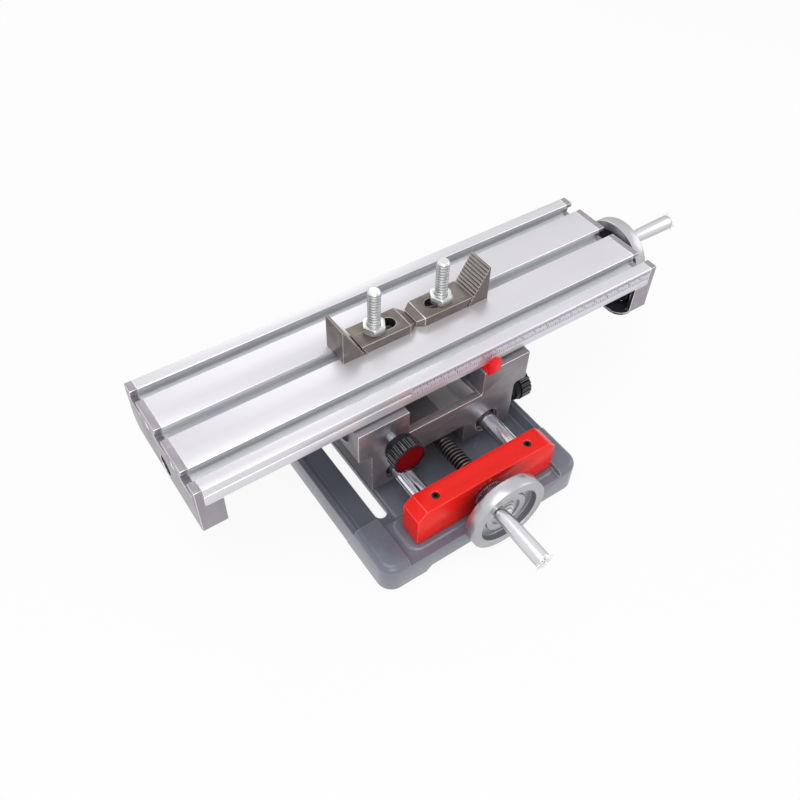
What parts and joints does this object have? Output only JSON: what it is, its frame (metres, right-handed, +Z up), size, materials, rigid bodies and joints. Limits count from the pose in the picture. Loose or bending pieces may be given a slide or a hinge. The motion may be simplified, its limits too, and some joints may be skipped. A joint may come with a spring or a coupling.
{
  "type": "cross slide vise",
  "caption": "Small two-axis work table: T-slotted top and step clamps on crossed rod slides, each driven by a leadscrew with handwheel and dial, with lock knobs on a slotted base.",
  "frame": {"origin": "on the floor plane under the saddle's centre, below the table's centre line", "axes": "+X along the table's long travel towards the right handwheel, +Y from the front handwheel to the rear, +Z up"},
  "size_m": [0.3858, 0.253, 0.1315],
  "materials": {
    "slate_paint": "gloss",
    "red_paint": "gloss",
    "chrome_rod": "polished",
    "bronze": "satin",
    "black_steel": "satin",
    "machined_iron": "ground",
    "zinc_steel": "zinc plated",
    "red_pointer": "gloss",
    "black_plastic": "satin",
    "dark_red_plastic": "gloss",
    "anodised_table": "fine satin",
    "ground_iron": "ground",
    "scale_print": "satin",
    "leadscrew_steel": "oiled",
    "dial_metal": "turned",
    "turned_aluminium": "turned",
    "bright_chrome": "polished",
    "handle_aluminium": "turned",
    "phosphate_steel": "phosphated",
    "zinc_bolt": "zinc plated"
  },
  "bodies": {
    "base": {"base_casting": "slate_paint", "front_block": "red_paint", "rear_block": "red_paint", "y_rod_left": "chrome_rod", "y_rod_right": "chrome_rod", "y_bush_front": "bronze", "y_bush_rear": "bronze", "front_grub_screws": "black_steel", "rear_grub_screws": "black_steel", "block_screws": "black_steel"},
    "y_drive": {"y_leadscrew": "leadscrew_steel", "y_dial": "dial_metal", "y_handwheel": "turned_aluminium", "y_hub_screw": "zinc_steel", "y_handle_bolt": "bright_chrome"},
    "y_grip": {"y_handle_grip": "handle_aluminium"},
    "saddle": {"saddle_casting": "machined_iron", "y_rod_bush_front_left": "zinc_steel", "y_rod_bush_front_right": "zinc_steel", "y_rod_bush_rear_left": "zinc_steel", "y_rod_bush_rear_right": "zinc_steel", "x_rod_bushes_front": "zinc_steel", "x_rod_bushes_back": "zinc_steel", "x_nut": "bronze", "y_nut": "bronze", "nut_screws": "black_steel", "pointer": "red_pointer", "pointer_screw": "zinc_steel"},
    "front_lock": {"front_lock_knob": "black_plastic", "front_lock_cap": "dark_red_plastic", "front_lock_stud": "zinc_steel"},
    "right_lock": {"right_lock_knob": "black_plastic", "right_lock_cap": "dark_red_plastic", "right_lock_stud": "zinc_steel"},
    "table": {"table_plate": "anodised_table", "left_bracket": "ground_iron", "right_bracket": "ground_iron", "bracket_screws": "zinc_steel", "x_rod_front": "chrome_rod", "x_rod_back": "chrome_rod", "x_bush_left": "bronze", "x_bush_right": "bronze", "scale_strip": "scale_print"},
    "x_drive": {"x_leadscrew": "leadscrew_steel", "x_dial": "dial_metal", "x_handwheel": "turned_aluminium", "x_hub_screw": "zinc_steel", "x_handle_bolt": "bright_chrome"},
    "x_grip": {"x_handle_grip": "handle_aluminium"},
    "left_clamp": {"left_strap": "phosphate_steel"},
    "left_wedge": {"left_step_block": "phosphate_steel"},
    "left_bolt": {"left_clamp_bolt": "zinc_bolt"},
    "left_nut": {"left_clamp_nut": "zinc_bolt"},
    "right_clamp": {"right_strap": "phosphate_steel"},
    "right_wedge": {"right_step_block": "phosphate_steel"},
    "right_bolt": {"right_clamp_bolt": "zinc_bolt"},
    "right_nut": {"right_clamp_nut": "zinc_bolt"}
  },
  "joints": [
    {"name": "saddle_slide", "type": "slide", "parent": "base", "child": "saddle", "axis": [0, 1, 0], "range_m": [-0.028, 0.022]},
    {"name": "y_screw_turn", "type": "hinge", "parent": "base", "child": "y_drive", "pos_m": [0, 0, 0.0323], "axis": [0, 1, 0], "range_deg": [-4033, 3169]},
    {"name": "y_grip_spin", "type": "hinge", "parent": "y_drive", "child": "y_grip", "pos_m": [-0.0099, -0.1335, 0.0449], "axis": [0, 1, 0], "continuous": true},
    {"name": "table_slide", "type": "slide", "parent": "saddle", "child": "table", "axis": [1, 0, 0], "range_m": [-0.082, 0.078]},
    {"name": "x_screw_turn", "type": "hinge", "parent": "table", "child": "x_drive", "pos_m": [0, 0, 0.069], "axis": [1, 0, 0], "range_deg": [-11809, 11233]},
    {"name": "x_grip_spin", "type": "hinge", "parent": "x_drive", "child": "x_grip", "pos_m": [0.2063, -0.006, 0.0838], "axis": [1, 0, 0], "continuous": true},
    {"name": "front_lock_turn", "type": "hinge", "parent": "saddle", "child": "front_lock", "pos_m": [-0.0412, -0.06, 0.0673], "axis": [0, 1, 0], "range_deg": [-360, 0]},
    {"name": "right_lock_turn", "type": "hinge", "parent": "saddle", "child": "right_lock", "pos_m": [0.065, -0.035, 0.0323], "axis": [1, 0, 0], "range_deg": [0, 360]},
    {"name": "left_clamp_slide", "type": "slide", "parent": "table", "child": "left_clamp", "axis": [1, 0, 0], "range_m": [-0.095, 0]},
    {"name": "left_wedge_slide", "type": "slide", "parent": "left_clamp", "child": "left_wedge", "axis": [1, 0, 0], "range_m": [-0.015, 0]},
    {"name": "left_bolt_slide", "type": "slide", "parent": "left_clamp", "child": "left_bolt", "axis": [1, 0, 0], "range_m": [0, 0.01]},
    {"name": "left_nut_turn", "type": "hinge", "parent": "left_bolt", "child": "left_nut", "pos_m": [-0.02, 0, 0.104], "axis": [0, 0, 1], "range_deg": [-180, 180]},
    {"name": "right_clamp_slide", "type": "slide", "parent": "table", "child": "right_clamp", "axis": [1, 0, 0], "range_m": [0, 0.095]},
    {"name": "right_wedge_slide", "type": "slide", "parent": "right_clamp", "child": "right_wedge", "axis": [1, 0, 0], "range_m": [0, 0.015]},
    {"name": "right_bolt_slide", "type": "slide", "parent": "right_clamp", "child": "right_bolt", "axis": [1, 0, 0], "range_m": [-0.0065, 0.0035]},
    {"name": "right_nut_turn", "type": "hinge", "parent": "right_bolt", "child": "right_nut", "pos_m": [0.0286, 0, 0.104], "axis": [0, 0, 1], "range_deg": [-180, 180]}
  ],
  "couplings": [
    {"joint": "y_screw_turn", "follows": "saddle_slide", "rad_per_m": 2513.3},
    {"joint": "x_screw_turn", "follows": "table_slide", "rad_per_m": 2513.3}
  ]
}
